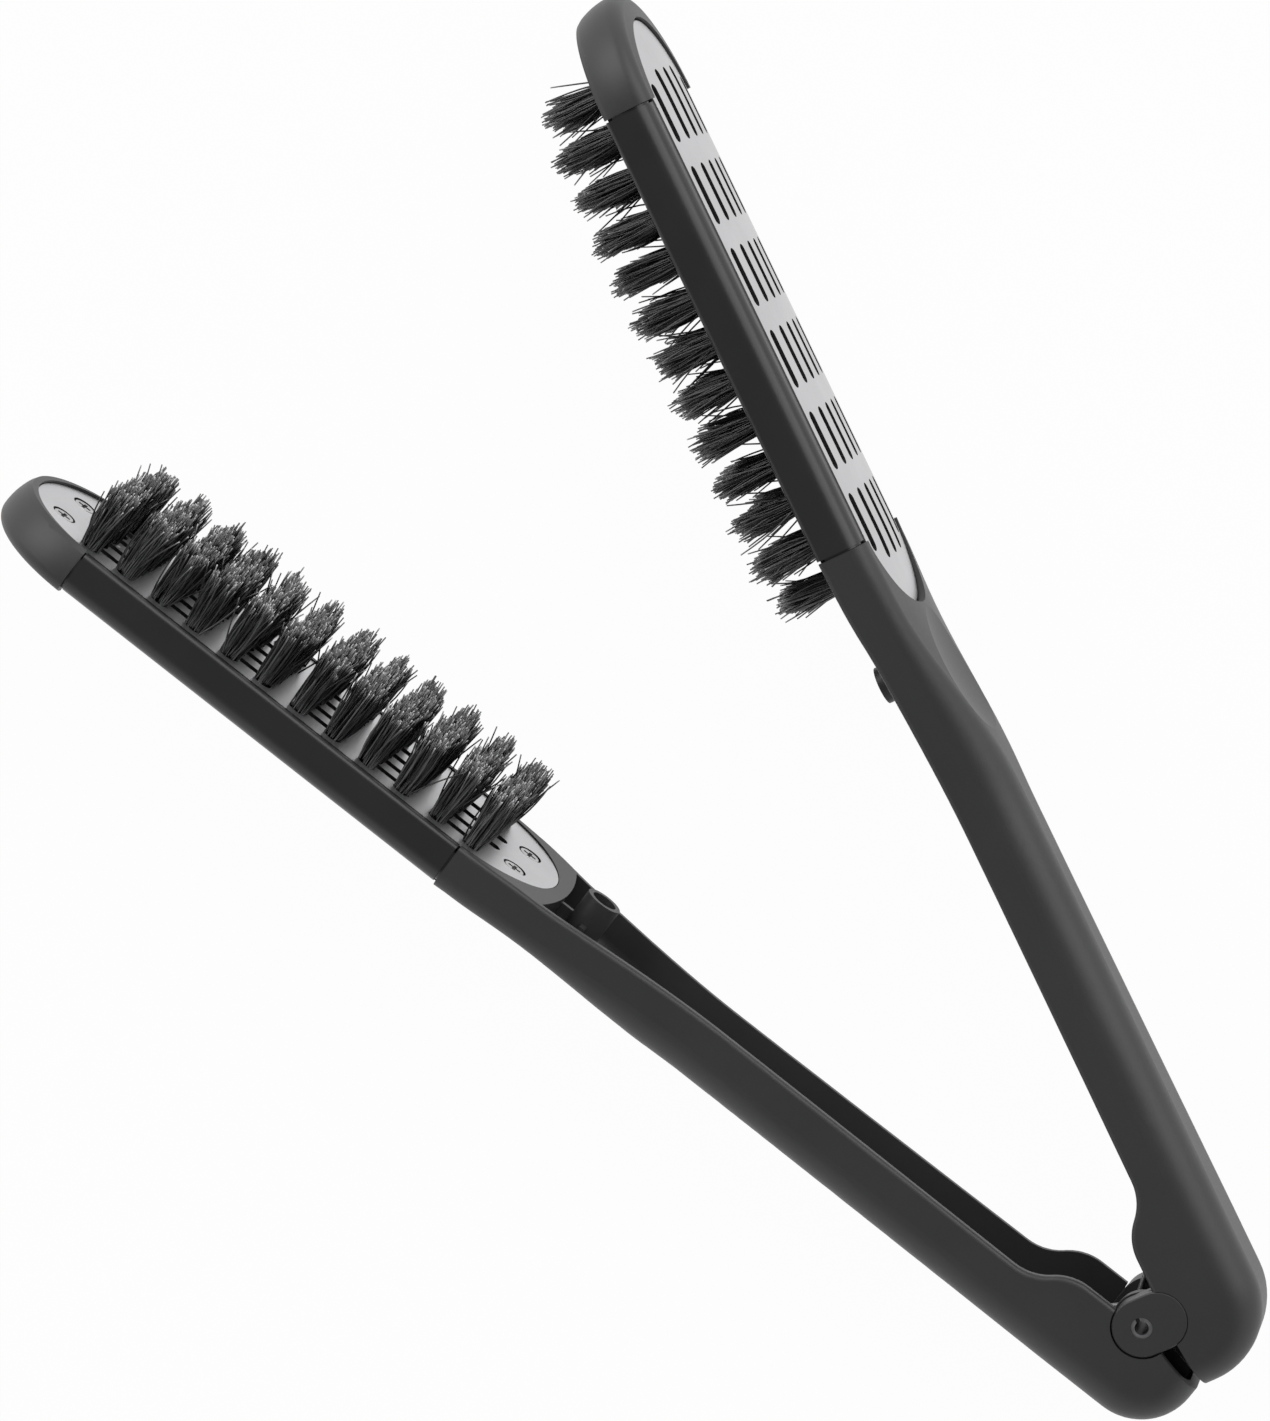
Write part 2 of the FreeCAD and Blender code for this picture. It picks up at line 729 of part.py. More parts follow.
def rail_tongue():
    """Core of a rail, drawn in from its skin, that runs on to the arm and the cap behind the seams."""
    turn = math.radians(eighth_turn)
    outer = head_half_width - seam_depth
    corner = head_corner_radius - seam_depth
    bottom_y = outer - corner
    bottom_z = rail_back + rise(back_crown_radius, bottom_y) + seam_depth
    core_edge = core_half_width + fit_gap
    plate_edge = back_plate_half_width + fit_gap
    top = inner_plate_height - plate - 2 * seat_gap
    under = plate_back + plate + rise(back_crown_radius, plate_edge) + 2 * seat_gap
    corners = [
        point(0, outer, bottom_z + corner), point(0, outer, top), point(0, core_edge, top),
        point(0, core_edge, under), point(0, bottom_y, bottom_z),
    ]
    outline = [line(start, end) for start, end in zip(corners, corners[1:])]
    outline.append(arc(point(0, bottom_y, bottom_z),
                       point(0, bottom_y + corner * math.sin(turn), bottom_z + corner * (1 - math.cos(turn))),
                       point(0, outer, bottom_z + corner)))
    face = Part.Face(Part.Wire(outline))
    face.translate(point(arm_end + seat_gap, 0, 0))
    return face.extrude(point(cap_start - arm_end - 2 * seat_gap, 0, 0))


def side_rail(side):
    """Moulded rail along one side of the head, with a ledge for each plate and a groove by the rim."""
    turn = math.radians(eighth_turn)
    outer = head_half_width
    corner = head_corner_radius
    soft = rail_shoulder_radius
    bottom_y = outer - corner
    bottom_z = rail_back + rise(back_crown_radius, bottom_y)
    plate_edge = back_plate_half_width + fit_gap
    inner_edge = inner_plate_half_width + fit_gap
    core_edge = core_half_width + fit_gap
    rim_edge = inner_edge + rim_width
    groove_edge = rim_edge + groove_width
    groove_floor = rim_height - groove_depth
    ledge = inner_plate_height - plate - seat_gap
    under = plate_back + plate + seat_gap
    corners = [
        point(0, outer - soft, rim_height), point(0, groove_edge, rim_height),
        point(0, groove_edge, groove_floor), point(0, rim_edge, groove_floor),
        point(0, rim_edge, rim_height), point(0, inner_edge, rim_height),
        point(0, inner_edge, ledge + rise(inner_dish_radius, inner_edge) - seat_gap),
        point(0, core_edge, ledge + rise(inner_dish_radius, core_edge) - seat_gap),
        point(0, core_edge, under + rise(back_crown_radius, core_edge) + seat_gap),
        point(0, plate_edge, under + rise(back_crown_radius, plate_edge) + seat_gap),
        point(0, plate_edge, rail_back + rise(back_crown_radius, plate_edge)),
        point(0, bottom_y, bottom_z),
    ]
    outline = [line(start, end) for start, end in zip(corners, corners[1:])]
    outline += [
        arc(point(0, bottom_y, bottom_z),
            point(0, bottom_y + corner * math.sin(turn), bottom_z + corner * (1 - math.cos(turn))),
            point(0, outer, bottom_z + corner)),
        line(point(0, outer, bottom_z + corner), point(0, outer, rim_height - soft)),
        arc(point(0, outer, rim_height - soft),
            point(0, outer - soft * (1 - math.cos(turn)), rim_height - soft * (1 - math.sin(turn))),
            point(0, outer - soft, rim_height)),
    ]
    face = Part.Face(Part.Wire(outline))
    face.translate(point(arm_end + seam, 0, 0))
    rail = face.extrude(point(cap_start - arm_end - 2 * seam, 0, 0))
    return both_sides(rail.fuse(rail_tongue()).removeSplitter())[0 if side > 0 else 1]


def tangent_angle(end, leaving):
    """Angle on the coil where a straight leg to a far point meets it, winding anticlockwise."""
    reach = math.hypot(end.x, end.y)
    bearing = math.atan2(end.y, end.x)
    swing = math.acos(spring_mean_radius / reach)
    return bearing - swing if leaving else bearing + swing


def biarc(start, start_tangent, end, end_tangent):
    """Two arcs that leave and arrive along the given directions."""
    chord = end - start
    total = start_tangent + end_tangent
    along = chord.dot(total)
    spread = 2 * (1 - start_tangent.dot(end_tangent))
    reach = (math.sqrt(along * along + spread * chord.dot(chord)) - along) / spread
    first = start + start_tangent * reach
    second = end - end_tangent * reach
    joint = (first + second) * half_turn_share
    edges = []
    for begin, corner, finish in ((start, first, joint), (joint, second, end)):
        middle = (begin + finish) * half_turn_share
        bisector = corner - middle
        half_chord = (finish - begin).Length * half_turn_share
        sagitta = half_chord * math.tan(half_turn_share * math.atan2(bisector.Length, half_chord))
        edges.append(arc(begin, middle + bisector.normalize() * sagitta, finish))
    return edges


def least_gap(path):
    """Least free space between two stretches of the wire that are half a turn or more apart."""
    points = path.discretize(Number=spring_samples)
    spacing = path.Length / (spring_samples - 1)
    skip = math.ceil(math.pi * spring_mean_radius / spacing)
    distances = [(there - here).Length for index, here in enumerate(points)
                 for there in points[index + skip:]]
    return min(distances) - 2 * spring_wire_radius


def torsion_spring():
    """Coil on the hinge pin with one leg on the floor of each channel."""
    right_floor = right_pivot_height - floor - spring_wire_radius - fit_gap
    left_floor = left_pivot_height - floor - spring_wire_radius - fit_gap
    right_end = point(spring_right_leg, -right_floor, 0)
    swing = math.radians(open_angle)
    left_end = point(spring_left_leg * math.cos(swing) - left_floor * math.sin(swing),
                     spring_left_leg * math.sin(swing) + left_floor * math.cos(swing), 0)
    start = tangent_angle(right_end, False)
    finish = tangent_angle(left_end, True)
    while finish < start + 2 * math.pi * spring_turns:
        finish += 2 * math.pi
    climb = spring_pitch / (2 * math.pi)
    quarters = math.ceil((finish - start) / (half_turn_share * math.pi))
    low = -half_turn_share * climb * (finish - start)

    def place(angle):
        return point(spring_mean_radius * math.cos(angle), spring_mean_radius * math.sin(angle),
                     low + climb * (angle - start))

    def heading(angle):
        across_x = -spring_mean_radius * math.sin(angle)
        across_y = spring_mean_radius * math.cos(angle)
        return point(across_x, across_y, climb).normalize()

    angles = [start + (finish - start) * step / quarters for step in range(quarters + 1)]
    right_leg = math.hypot(right_end.x - place(start).x, right_end.y - place(start).y)
    left_leg = math.hypot(left_end.x - place(finish).x, left_end.y - place(finish).y)
    foot = place(start) - heading(start) * right_leg
    edges = [line(foot, place(start))]
    for here, there in zip(angles, angles[1:]):
        edges += biarc(place(here), heading(here), place(there), heading(there))
    edges.append(line(place(finish), place(finish) + heading(finish) * left_leg))
    path = Part.Wire(edges)
    ring = Part.Circle(foot, heading(start), spring_wire_radius).toShape()
    tube = path.makePipeShell([Part.Wire([ring])], True, False)
    expected = math.pi * spring_wire_radius ** 2 * path.Length
    print("spring volume over section times length", tube.Volume / expected)
    print("least gap of the spring to itself", least_gap(path))
    return tube


def placed(shape, arm_name):
    """Move a shape from the arm frame to its place in the open brush."""
    result = shape.copy()
    if arm_name == "right":
        result.rotate(point(0, 0, 0), point(1, 0, 0), -90)
        result.translate(point(0, -right_pivot_height, 0))
    else:
        result.rotate(point(0, 0, 0), point(1, 0, 0), 90)
        result.translate(point(0, left_pivot_height, 0))
        result.rotate(point(0, 0, 0), point(0, 0, 1), open_angle)
    return result


def shared_nodes():
    """Pieces that are the same on both arms, in the arm frame."""
    return {
        "tip_cap": tip_cap(),
        "back_plate": back_plate(),
        "tip_screws": screw_pair(head_at + screw_half_span),
        "grip_screws": screw_pair(head_at - screw_half_span),
    }


def arm_nodes(arm_name, arm, shared, rows):
    """All pieces of one arm by node name, at their place in the open brush."""
    nodes = {"arm": arm, **shared}
    upper_side = 1 if arm_name == "left" else -1
    nodes["upper_rail"] = side_rail(upper_side)
    nodes["lower_rail"] = side_rail(-upper_side)
    nodes["bristle_core"] = bristle_core(rows)
    nodes["inner_plate"] = inner_plate(rows)
    for number, places in enumerate(tuft_places(rows), 1):
        nodes[f"tuft_row_{number:02d}"] = Part.makeCompound([tuft(x, y) for x, y in places])
    return {f"{arm_name}_{name}": placed(shape, arm_name) for name, shape in nodes.items()}


os.makedirs("parts", exist_ok=True)
both_arms = shared_nodes()
pieces = arm_nodes("right", right_arm(), both_arms, right_tuft_rows)
pieces.update(arm_nodes("left", left_arm(), both_arms, left_tuft_rows))
pieces["hinge_yoke"] = placed(hinge_yoke(), "right")
pieces["hinge_pin"] = placed(hinge_pin(), "right")
pieces["torsion_spring"] = torsion_spring()
for name, shape in pieces.items():
    print(name, "solids", len(shape.Solids), "valid", shape.isValid(), "volume", round(shape.Volume, 1))
    shape.exportStep(f"parts/{name}.step")
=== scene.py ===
import json
import math

import bpy
import numpy as np
from mathutils import Matrix, Vector

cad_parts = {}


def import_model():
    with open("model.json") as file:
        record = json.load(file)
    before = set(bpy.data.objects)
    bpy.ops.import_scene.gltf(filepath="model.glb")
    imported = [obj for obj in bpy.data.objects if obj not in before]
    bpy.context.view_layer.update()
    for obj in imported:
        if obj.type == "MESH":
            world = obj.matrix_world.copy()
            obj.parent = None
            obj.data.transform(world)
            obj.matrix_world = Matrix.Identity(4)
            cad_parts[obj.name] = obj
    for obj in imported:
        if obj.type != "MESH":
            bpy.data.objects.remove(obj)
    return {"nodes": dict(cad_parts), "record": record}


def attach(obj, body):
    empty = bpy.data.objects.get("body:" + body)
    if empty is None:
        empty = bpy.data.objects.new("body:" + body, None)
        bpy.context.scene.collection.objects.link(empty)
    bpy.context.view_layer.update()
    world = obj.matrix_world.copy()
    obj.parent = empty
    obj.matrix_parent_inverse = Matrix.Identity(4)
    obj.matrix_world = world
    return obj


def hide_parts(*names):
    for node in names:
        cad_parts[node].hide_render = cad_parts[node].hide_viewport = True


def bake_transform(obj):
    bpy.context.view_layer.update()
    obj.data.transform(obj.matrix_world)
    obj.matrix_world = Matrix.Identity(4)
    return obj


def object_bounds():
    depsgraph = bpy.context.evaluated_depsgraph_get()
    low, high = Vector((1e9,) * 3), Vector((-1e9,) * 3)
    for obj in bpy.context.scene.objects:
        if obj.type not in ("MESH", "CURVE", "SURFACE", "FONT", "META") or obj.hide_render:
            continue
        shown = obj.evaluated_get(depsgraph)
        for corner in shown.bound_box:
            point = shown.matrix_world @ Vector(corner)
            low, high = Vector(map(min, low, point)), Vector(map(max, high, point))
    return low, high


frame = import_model()
cad_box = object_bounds()

# Clamp brush lying open on its side: finish of every piece, bristles, spring, floor, light and camera.
# All lengths are in metres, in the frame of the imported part, unless a name says otherwise.

# Camera, fitted to the photograph
camera_place = Vector((0.20850, -0.23415, 1.10406))
camera_forward = Vector((-0.05525, 0.23976, -0.96926))
camera_up = Vector((0.89859, -0.41127, -0.15295))
camera_lens_mm = 151.47
camera_sensor_mm = 36.0
camera_clip_start = 0.01
camera_clip_end = 50.0

# Tufts: they are found in the row's solid by their spacing, and start in a socket below the plate
tuft_spacing = 0.00687
tuft_socket = 0.00385
# How far a whole tuft leans at random, as a share of its length
tuft_lean = 0.025

# Bristles are thin rods, thinner at the tip, that start a little below the plate
bristle_seed = 41
bristles_per_tuft = 105
bristle_rings = 7
bristle_sides = 4
bristle_radius = 0.00017
bristle_tip_share = 0.75
bristle_sunk = 0.0012
# Radius of a tuft where it leaves the plate and at its tips, and how far its rim lies below its middle
bristle_root_spread = 0.0017
bristle_tip_spread = 0.0026
bristle_dome = 0.0016
# The bristles of a tuft stand in clumps; these are random spreads inside a clump and between clumps
clumps_per_tuft = 24
clump_root_spread = 0.0003
clump_tip_spread = 0.00045
clump_length_spread = 0.0007
bristle_length_spread = 0.0006
bristle_wave = 0.0004
# A few bristles stray further at the tip
stray_share = 0.06
stray_spread = 0.0022
# A power above 1 makes dark bristles more common than pale ones
bristle_shade_power = 1.6

# Bristle colour from root to tip, by share of its length, and how far a dark bristle dims it; the pale last
# stretch is a painted highlight of light on the cut ends
bristle_colours_with_tip_highlight = (
    (0.0, (0.015, 0.015, 0.015)),
    (0.4, (0.09, 0.09, 0.09)),
    (0.9, (0.11, 0.11, 0.11)),
    # Painted highlight: the tips turn pale where light would catch the cut ends
    (0.97, (0.3, 0.3, 0.3)),
    (1.0, (0.8, 0.8, 0.805)),
)
bristle_dimming = (0.08, 1.0)
bristle_roughness = (0.26, 0.4)
bristle_gloss = 1.0

# Plates: a face turned further than this from the plate's own direction is a cut edge, painted black as
# shade
plate_shade_edge_facing = 0.9

# Greys are a trace blue, and a noise runs mostly between these two values
grey_blue_share = 1.02
noise_low = 0.3
noise_high = 0.7

# Finishes: the tone follows a cloudy noise, the roughness and a shallow relief follow a finer grain.
# A noise is stretched along X, Y and Z of its piece.
even = (1, 1, 1)
core_grain = {"stretch": even, "scale": 1500, "detail": 3, "roughness": 0.5}
steel_scratch = {"stretch": (300, 300, 2500), "scale": 2, "detail": 4, "roughness": 0.7}
surface_finishes = {
    "soft_touch_grey": {
        "tones": (0.035, 0.041),
        "roughness": (0.4, 0.5),
        "metallic": 0.0,
        "cloud": {"stretch": even, "scale": 45, "detail": 3, "roughness": 0.5},
        "grain": {"stretch": even, "scale": 5200, "detail": 2, "roughness": 0.7},
        "relief": 0.25,
        "relief_depth": 0.00006,
    },
    "rail_charcoal": {
        "tones": (0.019, 0.024),
        "roughness": (0.28, 0.36),
        "metallic": 0.0,
        "cloud": {"stretch": even, "scale": 60, "detail": 2, "roughness": 0.5},
        "grain": {"stretch": even, "scale": 4000, "detail": 2, "roughness": 0.6},
        "relief": 0.12,
        "relief_depth": 0.00004,
    },
    "silver_plate": {
        "tones": (0.54, 0.59),
        "roughness": (0.34, 0.44),
        "metallic": 1.0,
        "cloud": {"stretch": even, "scale": 70, "detail": 3, "roughness": 0.5},
        "grain": {"stretch": (60, 900, 900), "scale": 4, "detail": 4, "roughness": 0.6},
        "relief": 0.08,
        "relief_depth": 0.00002,
    },
    "core_black": {
        "tones": (0.008, 0.012),
        "roughness": (0.45, 0.6),
        "metallic": 0.0,
        "cloud": core_grain,
        "grain": core_grain,
        "relief": 0.1,
        "relief_depth": 0.00004,
    },
    "screw_steel": {
        "tones": (0.4, 0.5),
        "roughness": (0.22, 0.36),
        "metallic": 1.0,
        "cloud": steel_scratch,
        "grain": steel_scratch,
        "relief": 0.1,
        "relief_depth": 0.00002,
    },
    "pin_steel": {
        "tones": (0.24, 0.32),
        "roughness": (0.35, 0.5),
        "metallic": 1.0,
        "cloud": steel_scratch,
        "grain": steel_scratch,
        "relief": 0.1,
        "relief_depth": 0.00002,
    },
}

# Floor, and the share of its own white glow where it is seen directly; the rest keeps the shadow
white = (1, 1, 1)
white_strength = 1.0
floor_size = 12.0
floor_gap = 0.0002
floor_tone = 0.8
floor_glow_share = 0.97

# Surround: white up to one height of the unit sphere, grey from another, dimmer as a light than when seen
sky_white_height = 0.3
sky_grey_height = 0.75
sky_grey_tone = 0.2
sky_light_strength = 0.45

# Softboxes: place from the middle of the brush, sides, and power in watts
softboxes = {
    "right_softbox": {"offset": Vector((0.35, -1.2, 0.75)), "width": 1.8, "height": 1.3, "power": 12.5},
    "tip_softbox": {"offset": Vector((1.2, 0.3, 0.8)), "width": 1.2, "height": 0.9, "power": 9},
    "fill_softbox": {"offset": Vector((-0.7, 0.9, 1.0)), "width": 1.2, "height": 0.9, "power": 1.5},
}


def add_object(name, data):
    """New object in the scene."""
    made = bpy.data.objects.new(name, data)
    bpy.context.scene.collection.objects.link(made)
    return made


def new_material(name):
    """New node material with one Principled shader."""
    material = bpy.data.materials.new(name)
    material.use_nodes = True
    tree = material.node_tree
    return material, tree, tree.nodes["Principled BSDF"]


def node(tree, kind, **values):
    """Add a shader node and set its sockets by name."""
    made = tree.nodes.new(kind)
    for name, value in values.items():
        made.inputs[name.replace("_", " ")].default_value = value
    return made


def noise(tree, stretch, scale, detail, roughness):
    """Noise over the piece's own coordinates."""
    coordinates = tree.nodes.new("ShaderNodeTexCoord")
    mapping = node(tree, "ShaderNodeMapping", Scale=stretch)
    made = node(tree, "ShaderNodeTexNoise", Scale=scale, Detail=detail, Roughness=roughness)
    tree.links.new(coordinates.outputs["Object"], mapping.inputs["Vector"])
    tree.links.new(mapping.outputs["Vector"], made.inputs["Vector"])
    return made.outputs["Fac"]


def spread(tree, value, low, high):
    """Map a noise value to a range."""
    made = node(tree, "ShaderNodeMapRange", From_Min=noise_low, From_Max=noise_high, To_Min=low, To_Max=high)
    tree.links.new(value, made.inputs["Value"])
    return made.outputs["Result"]


def ramp(tree, value, stops):
    """Colour that runs through the given colours, each at its own position."""
    made = tree.nodes.new("ShaderNodeValToRGB")
    elements = made.color_ramp.elements
    for number, (position, colour) in ((0, stops[0]), (1, stops[-1])):
        elements[number].position = position
        elements[number].color = (*colour, 1)
    for position, colour in stops[1:-1]:
        elements.new(position).color = (*colour, 1)
    tree.links.new(value, made.inputs["Fac"])
    return made.outputs["Color"]


def grey(tone):
    """Grey with a trace of blue."""
    return (tone, tone, tone * grey_blue_share)


def two_tone(tree, value, first, second):
    """Grey that runs from one tone to another over a noise value."""
    return ramp(tree, value, ((noise_low, grey(first)), (noise_high, grey(second))))


def surface(name, tones, roughness, metallic, cloud, grain, relief, relief_depth):
    """Material of one finish."""
    material, tree, shader = new_material(name)
    cloud_value = noise(tree, **cloud)
    grain_value = noise(tree, **grain)
    tree.links.new(two_tone(tree, cloud_value, *tones), shader.inputs["Base Color"])
    tree.links.new(spread(tree, grain_value, *roughness), shader.inputs["Roughness"])
    shader.inputs["Metallic"].default_value = metallic
    bump = node(tree, "ShaderNodeBump", Strength=relief, Distance=relief_depth)
    tree.links.new(grain_value, bump.inputs["Height"])
    tree.links.new(bump.outputs["Normal"], shader.inputs["Normal"])
    return material


def attribute(tree, name):
    """Value that the bristle meshes carry at each point."""
    made = tree.nodes.new("ShaderNodeAttribute")
    made.attribute_name = name
    return made.outputs["Fac"]


def bristle_hair():
    """Black bristles: deep at the root, greyer towards the tips with a painted highlight at the very ends,
    each a little different.
    """
    material, tree, shader = new_material("bristle_black")
    shade = attribute(tree, "shade")
    tint = node(tree, "ShaderNodeMixRGB", Fac=1.0)
    tint.blend_type = "MULTIPLY"
    tree.links.new(ramp(tree, attribute(tree, "along"), bristle_colours_with_tip_highlight), tint.inputs["Color1"])
    tree.links.new(two_tone(tree, shade, *bristle_dimming), tint.inputs["Color2"])
    tree.links.new(tint.outputs["Color"], shader.inputs["Base Color"])
    tree.links.new(spread(tree, shade, *bristle_roughness), shader.inputs["Roughness"])
    shader.inputs["Specular IOR Level"].default_value = bristle_gloss
    return material


def arm_axes():
    """For each arm, the direction its bristles point and the direction from the hinge to its tip."""
    ahead, aside = left_direction()
    return {
        "right": (np.array((0.0, 1.0, 0.0)), np.array((1.0, 0.0, 0.0))),
        "left": (np.array((aside, -ahead, 0.0)), np.array((ahead, aside, 0.0))),
    }


def left_direction():
    """Direction of the left arm from the hinge: the one in which the points of its rails spread most."""
    points = np.array([vertex.co for name in ("left_upper_rail", "left_lower_rail")
                       for vertex in frame["nodes"][name].data.vertices])
    flat = points[:, :2] - points[:, :2].mean(axis=0)
    direction = np.linalg.eigh(flat.T @ flat)[1][:, -1]
    return direction if direction[0] > 0 else -direction


def dress_nodes(axes):
    """Give each CAD node its material, by the record's slots."""
    finishes = {name: surface(name, **values) for name, values in surface_finishes.items()}
    finishes["bristle_black"] = bristle_hair()
    for part in frame["record"]["subparts"]:
        mesh = frame["nodes"][part["node"]].data
        mesh.materials.clear()
        mesh.materials.append(finishes[part["material_slot"]])
        if part["material_slot"] == "silver_plate":
            arm = part["node"].split("_")[0]
            # The cut edges of each plate get painted shade: they are drawn in the black core finish
            paint_shade_on_plate_edges(mesh, axes[arm][0], finishes["core_black"])
    return finishes


def paint_shade_on_plate_edges(mesh, axis, material):
    """Painted shade: black for the cut edges of a plate, the walls of its slots and holes, and its rim."""
    mesh.materials.append(material)
    normals = np.zeros(3 * len(mesh.polygons))
    mesh.polygons.foreach_get("normal", normals)
    facing = np.abs(normals.reshape(-1, 3) @ axis)
    mesh.polygons.foreach_set("material_index", (facing < plate_shade_edge_facing).astype(np.int32))


def tuft_roots(node_name, axis):
    """Root point of each tuft in a row, on the plate, and the tuft's length above it."""
    vertices = np.array([vertex.co for vertex in frame["nodes"][node_name].data.vertices])
    heights = vertices @ axis
    span = vertices[:, 2]
    columns = round((span.max() - span.min()) / tuft_spacing)
    edges = np.linspace(span.min(), span.max(), columns + 1)[1:-1]
    column = np.digitize(span, edges)
    roots = []
    for number in range(columns):
        own = vertices[column == number]
        own_heights = heights[column == number]
        flat = own - np.outer(own_heights, axis)
        centre = (flat.min(axis=0) + flat.max(axis=0)) / 2
        root_height = own_heights.min() + tuft_socket
        roots.append((centre + axis * root_height, own_heights.max() - root_height))
    return roots


def bristle_lines(chance, root, length, axis, along):
    """Centre lines of the bristles of one tuft: they fan out from the root and end unevenly."""
    count = bristles_per_tuft
    side = np.cross(axis, along)
    turn = chance.uniform(0, 2 * math.pi, clumps_per_tuft)
    reach = np.sqrt(chance.uniform(0, 1, clumps_per_tuft))
    centres = np.stack((reach * np.cos(turn), reach * np.sin(turn)), axis=1)
    heights = chance.normal(0, clump_length_spread, clumps_per_tuft) - bristle_dome * reach ** 2
    clump = chance.integers(0, clumps_per_tuft, count)
    start = centres[clump] * bristle_root_spread + chance.normal(0, clump_root_spread, (count, 2))
    start *= np.minimum(1, bristle_root_spread / np.linalg.norm(start, axis=1))[:, None]
    end = centres[clump] * bristle_tip_spread + chance.normal(0, clump_tip_spread, (count, 2))
    end += length * chance.normal(0, tuft_lean, 2)
    stray = chance.uniform(0, 1, count) < stray_share
    end += stray[:, None] * chance.normal(0, stray_spread, (count, 2))
    tip_height = length + heights[clump] + chance.normal(0, bristle_length_spread, count)
    wave = chance.normal(0, bristle_wave, (count, 2))
    lines = np.zeros((count, bristle_rings, 3))
    for number, step in enumerate(np.linspace(0, 1, bristle_rings)):
        flat = (1 - step) * start + step * end + math.sin(math.pi * step) * wave
        height = step * (tip_height + bristle_sunk) - bristle_sunk
        lines[:, number] = root + flat @ np.stack((along, side)) + np.outer(height, axis)
    return lines


def bristle_faces(count):
    """Faces of the rods: for each one its sides, ring by ring, and then its tip and its root."""
    faces = []
    for bristle in range(count):
        start = bristle * bristle_rings * bristle_sides
        for ring in range(bristle_rings - 1):
            low = start + ring * bristle_sides
            high = low + bristle_sides
            for corner in range(bristle_sides):
                following = (corner + 1) % bristle_sides
                faces.append((low + corner, low + following, high + following, high + corner))
        top = start + (bristle_rings - 1) * bristle_sides
        faces.append(tuple(range(top, top + bristle_sides)))
        faces.append(tuple(reversed(range(start, start + bristle_sides))))
    return faces


def bristle_mesh(name, lines, shades):
    """Thin tapering rods along the lines, closed at both ends; no bristle runs along Z."""
    count = len(lines)
    directions = np.gradient(lines, axis=1)
    directions /= np.linalg.norm(directions, axis=2, keepdims=True)
    first = np.cross(directions, (0, 0, 1.0))
    first /= np.linalg.norm(first, axis=2, keepdims=True)
    second = np.cross(directions, first)
    steps = np.linspace(0, 1, bristle_rings)
    radius = bristle_radius * (1 - (1 - bristle_tip_share) * steps ** 2)
    angles = np.arange(bristle_sides) * 2 * math.pi / bristle_sides
    points = np.zeros((count, bristle_rings, bristle_sides, 3))
    for number, angle in enumerate(angles):
        offset = math.cos(angle) * first + math.sin(angle) * second
        points[:, :, number] = lines + offset * radius[None, :, None]
    mesh = bpy.data.meshes.new(name)
    mesh.from_pydata(points.reshape(-1, 3).tolist(), [], bristle_faces(count))
    along = mesh.attributes.new("along", "FLOAT", "POINT")
    along.data.foreach_set("value", np.tile(np.repeat(steps, bristle_sides), count).astype(np.float32))
    shade = mesh.attributes.new("shade", "FLOAT", "POINT")
    shade.data.foreach_set("value", np.repeat(shades, bristle_rings * bristle_sides).astype(np.float32))
    mesh.polygons.foreach_set("use_smooth", [True] * len(mesh.polygons))
    mesh.update()
    return mesh


def bristle_rows(axes, material):
    """One bristle piece for each tuft row of both arms."""
    chance = np.random.default_rng(bristle_seed)
    for arm, (axis, along) in axes.items():
        body = f"{arm}_side"
        rows = sorted(name for name in frame["nodes"] if name.startswith(f"{arm}_tuft_row"))
        for row in rows:
            lines = [bristle_lines(chance, root, length, axis, along)
                     for root, length in tuft_roots(row, axis)]
            lines = np.concatenate(lines)
            shades = chance.uniform(0, 1, len(lines)) ** bristle_shade_power
            name = row.replace("tuft_row", "bristles")
            piece = add_object(name, bristle_mesh(name, lines, shades))
            piece.data.materials.append(material)
            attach(piece, body)
            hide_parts(row)


def winding_spring():
    """Copy of the torsion spring, with its placing baked into the mesh, shown in place of the CAD node."""
    mesh = frame["nodes"]["torsion_spring"].data.copy()
    piece = add_object("winding_spring", mesh)
    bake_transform(piece)
    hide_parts("torsion_spring")


def larger(tree, first, second):
    """The larger of two values."""
    made = tree.nodes.new("ShaderNodeMath")
    made.operation = "MAXIMUM"
    tree.links.new(first, made.inputs[0])
    tree.links.new(second, made.inputs[1])
    return made.outputs["Value"]


def seen_directly(tree):
    """1 for camera, glossy and transmission rays, 0 for the light that falls on the object."""
    path = tree.nodes.new("ShaderNodeLightPath")
    seen = larger(tree, path.outputs["Is Camera Ray"], path.outputs["Is Glossy Ray"])
    return larger(tree, seen, path.outputs["Is Transmission Ray"])


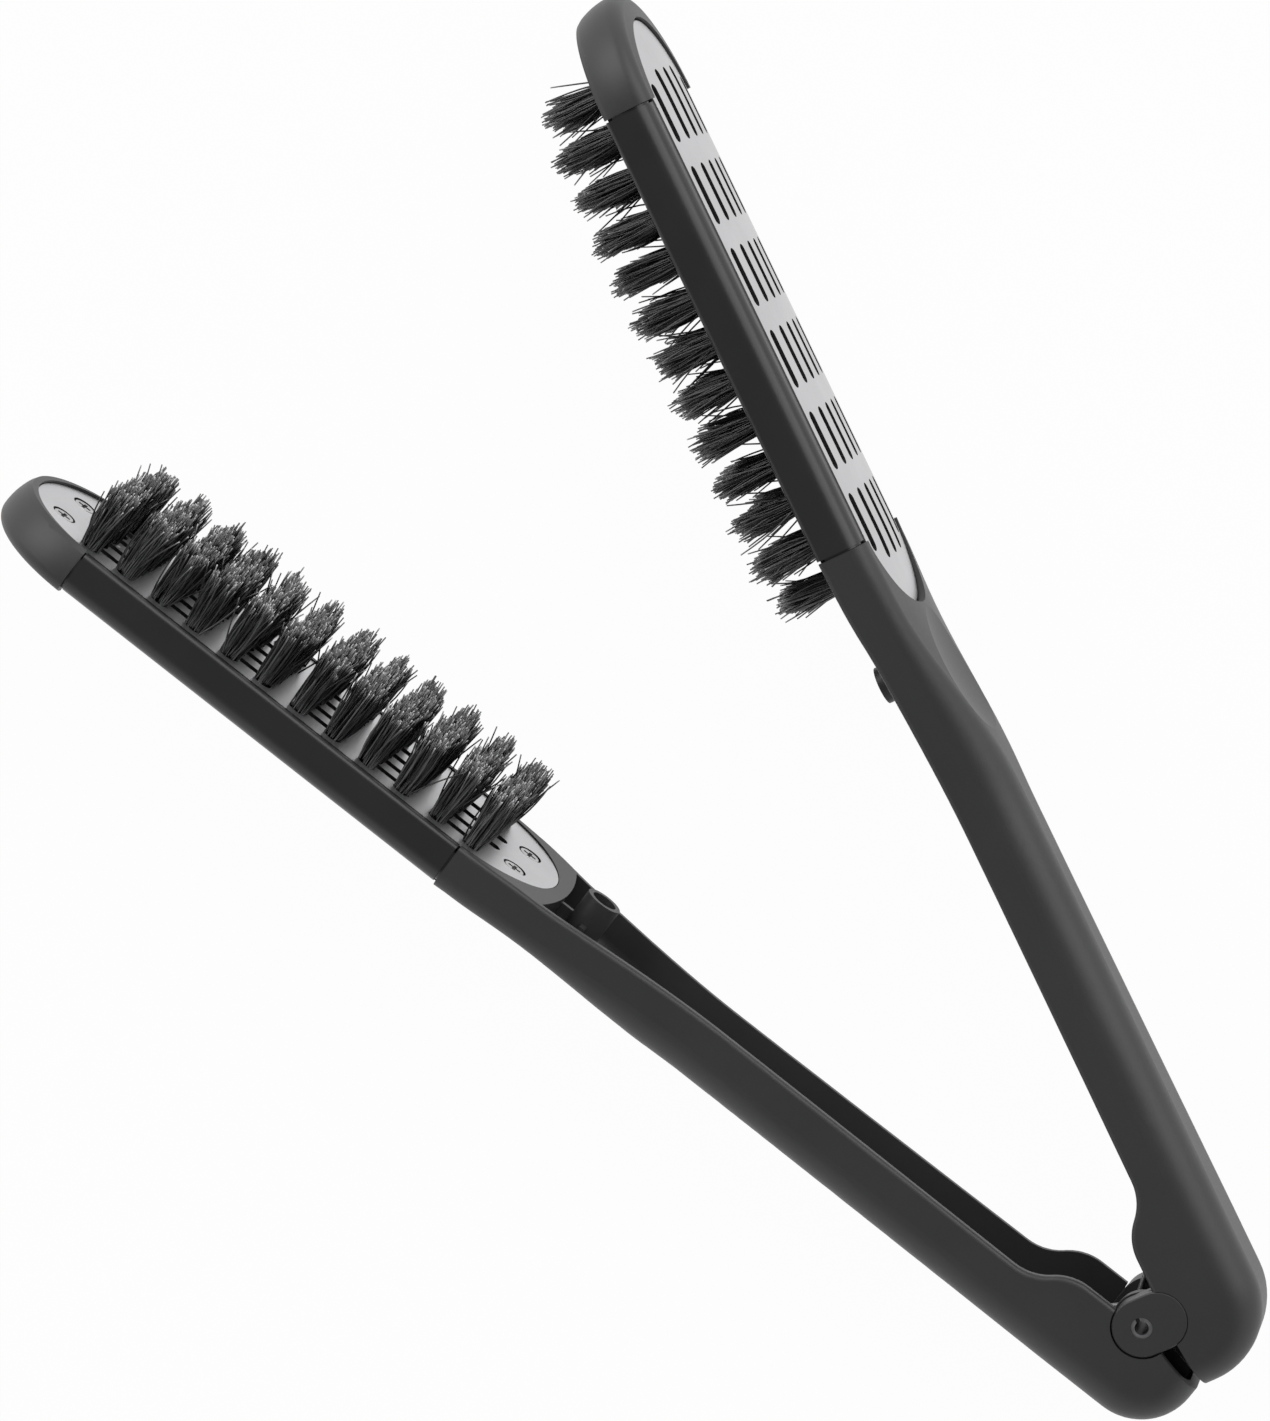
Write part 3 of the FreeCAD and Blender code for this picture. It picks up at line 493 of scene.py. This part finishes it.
def floor():
    """White floor that keeps a faint shadow."""
    low = cad_box[0].z - floor_gap
    half = floor_size / 2
    mesh = bpy.data.meshes.new("floor")
    corners = [(-half, -half, low), (half, -half, low), (half, half, low), (-half, half, low)]
    mesh.from_pydata(corners, [], [(0, 1, 2, 3)])
    made = add_object("floor", mesh)
    material = bpy.data.materials.new("floor_white")
    material.use_nodes = True
    tree = material.node_tree
    tree.nodes.clear()
    output = tree.nodes.new("ShaderNodeOutputMaterial")
    diffuse = node(tree, "ShaderNodeBsdfDiffuse", Color=(floor_tone, floor_tone, floor_tone, 1))
    glow = node(tree, "ShaderNodeEmission", Color=(*white, 1), Strength=white_strength)
    share = tree.nodes.new("ShaderNodeMath")
    share.operation = "MULTIPLY"
    share.inputs[1].default_value = floor_glow_share
    tree.links.new(seen_directly(tree), share.inputs[0])
    mix = tree.nodes.new("ShaderNodeMixShader")
    tree.links.new(share.outputs["Value"], mix.inputs["Fac"])
    tree.links.new(diffuse.outputs["BSDF"], mix.inputs[1])
    tree.links.new(glow.outputs["Emission"], mix.inputs[2])
    tree.links.new(mix.outputs["Shader"], output.inputs["Surface"])
    mesh.materials.append(material)


def world():
    """White surround that darkens overhead, dimmer as a light than as a background."""
    made = bpy.data.worlds.new("studio")
    bpy.context.scene.world = made
    made.use_nodes = True
    tree = made.node_tree
    background = tree.nodes["Background"]
    coordinates = tree.nodes.new("ShaderNodeTexCoord")
    parts = tree.nodes.new("ShaderNodeSeparateXYZ")
    tree.links.new(coordinates.outputs["Generated"], parts.inputs["Vector"])
    stops = ((sky_white_height, white), (sky_grey_height, grey(sky_grey_tone)))
    tree.links.new(ramp(tree, parts.outputs["Z"], stops), background.inputs["Color"])
    strength = node(tree, "ShaderNodeMapRange", To_Min=sky_light_strength, To_Max=white_strength)
    tree.links.new(seen_directly(tree), strength.inputs["Value"])
    tree.links.new(strength.outputs["Result"], background.inputs["Strength"])


def studio():
    """Softboxes that face the middle of the brush, and plain view settings."""
    middle = (cad_box[0] + cad_box[1]) / 2
    for name, box in softboxes.items():
        data = bpy.data.lights.new(name, "AREA")
        data.shape = "RECTANGLE"
        data.size = box["width"]
        data.size_y = box["height"]
        data.energy = box["power"]
        made = add_object(name, data)
        made.location = middle + box["offset"]
        made.rotation_euler = (-box["offset"]).to_track_quat("-Z", "Y").to_euler()
    bpy.context.scene.view_settings.view_transform = "Standard"


def camera():
    """Camera of the photograph: long lens, looking down on the open brush."""
    data = bpy.data.cameras.new("photo_camera")
    data.sensor_width = camera_sensor_mm
    data.lens = camera_lens_mm
    data.clip_start = camera_clip_start
    data.clip_end = camera_clip_end
    made = add_object("photo_camera", data)
    back = -camera_forward.normalized()
    right = camera_up.cross(back).normalized()
    up = back.cross(right)
    turn = Matrix((right, up, back)).transposed().to_4x4()
    made.matrix_world = Matrix.Translation(camera_place) @ turn
    bpy.context.scene.camera = made


axes = arm_axes()
finishes = dress_nodes(axes)
bristle_rows(axes, finishes["bristle_black"])
winding_spring()
floor()
world()
studio()
camera()
